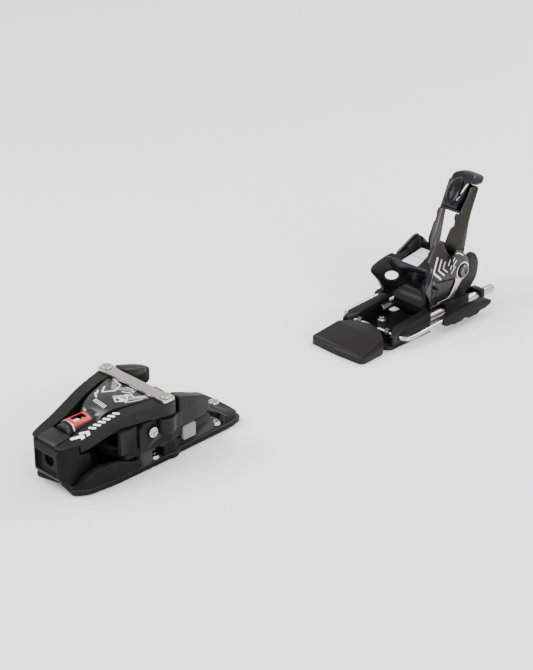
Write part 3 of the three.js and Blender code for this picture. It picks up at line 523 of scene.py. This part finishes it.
# a light silver stripe along the grip's near side wall
gripMarks = [{
    "colour": (0.80, 0.80, 0.81), "flatten": (1, 0, 1), "facing": (0, -0.7, 0.7), "limit": 0.55,
    "lines": chain([(2.4, 104.8), (6, 110.5), (8.3, 114.6), (9.8, 120.6)], 0.62, onFront),
}]
nutMarks = [{
    "colour": blackInk, "flatten": (1, 1, 0), "facing": (0, 0, 1), "limit": 0.3,
    "lines": [((-5, -231.2, 0), (5, -231.2, 0), 0.3)],
}]
marked = {
    "toe_body": makeFinish("printedToeBody", finishes["blackPlastic"], shelfMarks),
    "toe_base": makeFinish("printedToeBase", finishes["blackPlastic"], baseMarks),
    "yoke": makeFinish("printedArm", finishes["armPaint"], armMarks),
    "spring_housing": makeFinish("printedHousing", finishes["housingBlack"], housingMarks),
    "side_plate_left": makeFinish("printedSideLeft", finishes["gunmetal"], [sideMarks]),
    "side_plate_right": makeFinish("printedSideRight", finishes["gunmetal"], [sideMarksRight]),
    "scale_window": makeFinish("printedWindow", finishes["lightPlate"], windowMarks),
    "lever_grip": makeFinish("stripedGrip", finishes["glossBlack"], gripMarks),
    "indicator_nut": makeFinish("printedNut", finishes["whitePlastic"], nutMarks),
}
print("prints ready")


# pieces: every one is worked up from its own CAD solid
both = ("_left", "_right")
bevelled = {  # crisp pieces by finish, with the bevel's width in mm
    "blackPlastic": {
        "names": ["toe_base", "toe_body", "afd_carrier", "heel_track", "carriage", "heel_housing"]
        + ["brake_paddle" + s for s in both], "edge": 0.45,
    },
    "greyPlastic": {"names": ["afd_plate", "brake_pedal"], "edge": 0.8},
    "capPlastic": {"names": ["nose_cap"], "edge": 0.4},
    "darkPaint": {"names": ["spring_tube", "release_screw"], "edge": 0.35},
    "gunmetal": {"names": ["spring_housing"] + ["side_plate" + s for s in both], "edge": 0.4},
    "lightPlate": {"names": ["scale_window"], "edge": 0.3},
    "redPlastic": {"names": ["indicator_frame"], "edge": 0.25},
    "whitePlastic": {"names": ["indicator_nut"], "edge": 0.2},
    "slatePlastic": {"names": ["side_plug" + s for s in both], "edge": 0.3},
    "leverAlloy": {"names": ["lever_fork"], "edge": 0.45},
    "plateSteel": {"names": ["bridge_plate"], "edge": 0.3},
    "springSteel": {"names": ["hub_screw" + s for s in both], "edge": 0.25},
    "warmSteel": {
        "names": ["tube_band", "drawbar", "afd_screw", "hub_axle", "pressure_screw", "heel_piston"]
        + [n + s for s in both for n in (
            "wing_pin", "side_screw", "toe_front_screw", "toe_rear_screw", "guide_rod",
            "heel_front_screw", "heel_rear_screw", "side_frame",
        )],
        "edge": 0.25,
    },
}
moulded = {  # flowing pieces: finish, grid size in mm, rounds of smoothing
    "yoke": {"finish": "armPaint", "grid": 0.62, "rounds": 9},
    "heel_cup": {"finish": "glossBlack", "grid": 0.6, "rounds": 12},
    "lever_grip": {"finish": "glossBlack", "grid": 0.45, "rounds": 14},
    "nose_block": {"finish": "blackPlastic", "grid": 0.55, "rounds": 8},
    "wing_left": {"finish": "wingPlastic", "grid": 0.45, "rounds": 9},
    "wing_right": {"finish": "wingPlastic", "grid": 0.45, "rounds": 9},
}
rounded = {  # wires and coils by finish
    "springSteel": ["toe_spring", "pressure_spring", "heel_spring"] + ["brake_spring" + s for s in both],
    "warmSteel": ["brake_wire" + s for s in both],
}

springs = {  # the slide that presses a coil, its fixed end in mm, and the share of its length it keeps
    "toe_spring": {"joint": "drawbar_slide", "end": -186.95, "keep": 0.905},
    "heel_spring": {"joint": "piston_slide", "end": 182.35, "keep": 0.82},
}
shaping = {
    "merge": 0.00002, "flatAngle": 1.5, "bevelAngle": 32, "smoothAngle": 34, "bevelSegments": 2,
    "smoothFactor": 0.5, "roundLevels": 2,
}


def takeCopy(node):
    bpy.ops.object.select_all(action="DESELECT")
    piece = frame["nodes"][node].copy()
    piece.data = frame["nodes"][node].data.copy()
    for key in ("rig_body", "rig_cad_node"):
        if key in piece:
            del piece[key]
    piece.parent = None
    piece.name = node + "_finished"
    bpy.context.scene.collection.objects.link(piece)
    piece.select_set(True)
    bpy.context.view_layer.objects.active = piece
    bpy.ops.object.mode_set(mode="EDIT")
    bpy.ops.mesh.select_all(action="SELECT")
    bpy.ops.mesh.remove_doubles(threshold=shaping["merge"])
    bpy.ops.object.mode_set(mode="OBJECT")
    return piece


def applyModifier(piece, kind, **values):
    modifier = piece.modifiers.new(kind.title(), kind)
    for key, value in values.items():
        setattr(modifier, key, value)
    bpy.ops.object.modifier_apply(modifier=modifier.name)


def settle(piece, node, finish):
    piece.data.materials.clear()
    piece.data.materials.append(marked.get(node) or materials[finish])
    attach(piece, bodyOfNode[node])
    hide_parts(node)


def makeBevelled(node, finish, edge):
    piece = takeCopy(node)
    bpy.ops.object.mode_set(mode="EDIT")
    bpy.ops.mesh.select_all(action="SELECT")
    bpy.ops.mesh.dissolve_limited(angle_limit=math.radians(shaping["flatAngle"]))
    bpy.ops.object.mode_set(mode="OBJECT")
    applyModifier(piece, "BEVEL", width=edge * mm, segments=shaping["bevelSegments"], limit_method="ANGLE",
                  angle_limit=math.radians(shaping["bevelAngle"]), use_clamp_overlap=True)
    bpy.ops.object.shade_smooth_by_angle(angle=math.radians(shaping["smoothAngle"]))
    settle(piece, node, finish)


def makeMoulded(node, setting):
    piece = takeCopy(node)
    applyModifier(piece, "REMESH", mode="VOXEL", voxel_size=setting["grid"] * mm, adaptivity=0.0)
    applyModifier(piece, "SMOOTH", factor=shaping["smoothFactor"], iterations=setting["rounds"])
    bpy.ops.object.shade_smooth()
    settle(piece, node, setting["finish"])


def makeRounded(node, finish):
    piece = takeCopy(node)
    applyModifier(piece, "SUBSURF", levels=shaping["roundLevels"], render_levels=shaping["roundLevels"])
    bpy.ops.object.shade_smooth()
    settle(piece, node, finish)
    if node in springs:
        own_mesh(piece)


for finish, group in bevelled.items():
    for node in group["names"]:
        makeBevelled(node, finish, group["edge"])
print("bevelled pieces ready")
for node, setting in moulded.items():
    makeMoulded(node, setting)
print("moulded pieces ready")
for finish, names in rounded.items():
    for node in names:
        makeRounded(node, finish)
print("wires and coils ready")
